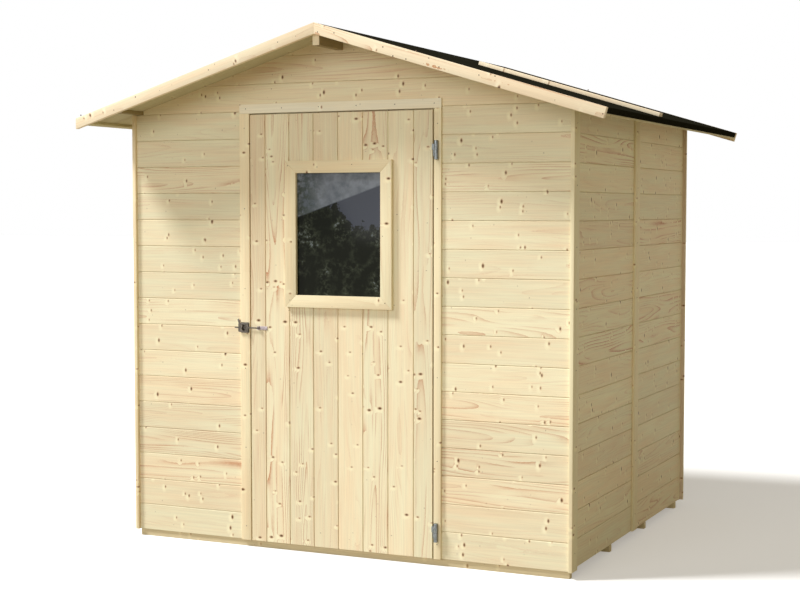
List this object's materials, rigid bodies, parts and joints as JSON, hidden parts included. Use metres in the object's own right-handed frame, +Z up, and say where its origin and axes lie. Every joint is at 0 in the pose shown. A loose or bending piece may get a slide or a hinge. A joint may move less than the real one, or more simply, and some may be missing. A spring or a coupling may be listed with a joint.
{
  "type": "wooden garden shed",
  "caption": "Small boarded garden shed with a felted pitched roof and one ledged outward door that has a framed window and a hasp.",
  "frame": {"origin": "on the ground under the middle of the front floor bearer, below the middle of the door", "axes": "+Z up, the door side faces -Y, +X is to the right for someone who faces the door"},
  "size_m": [2.3276, 2.108, 2.152],
  "materials": {
    "batten_wood": "planed untreated spruce",
    "bearer_wood": "pressure-treated softwood, olive tan",
    "deck_wood": "planed untreated spruce boards",
    "door_wood": "planed untreated spruce boards",
    "frame_wood": "planed untreated spruce battens",
    "hasp_steel": "zinc-plated steel, dull",
    "hinge_steel": "zinc-plated steel",
    "roof_felt": "near-black bitumen roofing felt, fine grit",
    "roof_wood": "planed untreated spruce boards",
    "trim_wood": "planed untreated spruce",
    "verge_wood": "planed untreated spruce",
    "wall_boards": "planed untreated spruce tongue-and-groove boards",
    "window_glass": "clear glass, dark from the unlit inside",
    "window_wood": "planed untreated spruce"
  },
  "bodies": {
    "shed": {"cover_strip_left": "verge_wood", "cover_strip_right": "verge_wood", "door_header": "frame_wood", "door_posts": "frame_wood", "door_trim_head": "trim_wood", "door_trim_left": "trim_wood", "door_trim_right": "trim_wood", "eave_battens": "verge_wood", "floor_bearers": "bearer_wood", "floor_deck": "deck_wood", "front_barge_left": "verge_wood", "front_barge_right": "verge_wood", "front_corner_battens": "batten_wood", "front_gable": "wall_boards", "front_wall_left": "wall_boards", "front_wall_right": "wall_boards", "hasp_staple": "hasp_steel", "hinge_frame_halves": "hinge_steel", "joint_battens": "batten_wood", "left_wall_front": "wall_boards", "left_wall_posts": "frame_wood", "left_wall_rear": "wall_boards", "rear_barge_left": "verge_wood", "rear_barge_right": "verge_wood", "rear_corner_battens": "batten_wood", "rear_wall_left": "wall_boards", "rear_wall_post": "frame_wood", "rear_wall_right": "wall_boards", "ridge_purlin": "roof_wood", "right_wall_front": "wall_boards", "right_wall_posts": "frame_wood", "right_wall_rear": "wall_boards", "roof_boards_left": "roof_wood", "roof_boards_right": "roof_wood", "roof_felt_front": "roof_felt", "roof_felt_rear": "roof_felt", "side_purlins": "roof_wood"},
    "door": {"door_leaf": "door_wood", "door_ledges": "door_wood", "window_frame": "window_wood", "window_glass": "window_glass", "window_bead": "window_wood", "hinge_door_halves": "hinge_steel", "hasp_plate": "hasp_steel"},
    "hasp": {"hasp_strap": "hasp_steel"}
  },
  "joints": [
    {"name": "door_hinge", "type": "hinge", "parent": "shed", "child": "door", "pos_m": [0.4325, -0.041, 0.137], "axis": [0, 0, 1], "range_deg": [0, 150]},
    {"name": "hasp_hinge", "type": "hinge", "parent": "door", "child": "hasp", "pos_m": [-0.376, -0.0395, 0.9285], "axis": [0, 0, 1], "range_deg": [0, 160]}
  ]
}
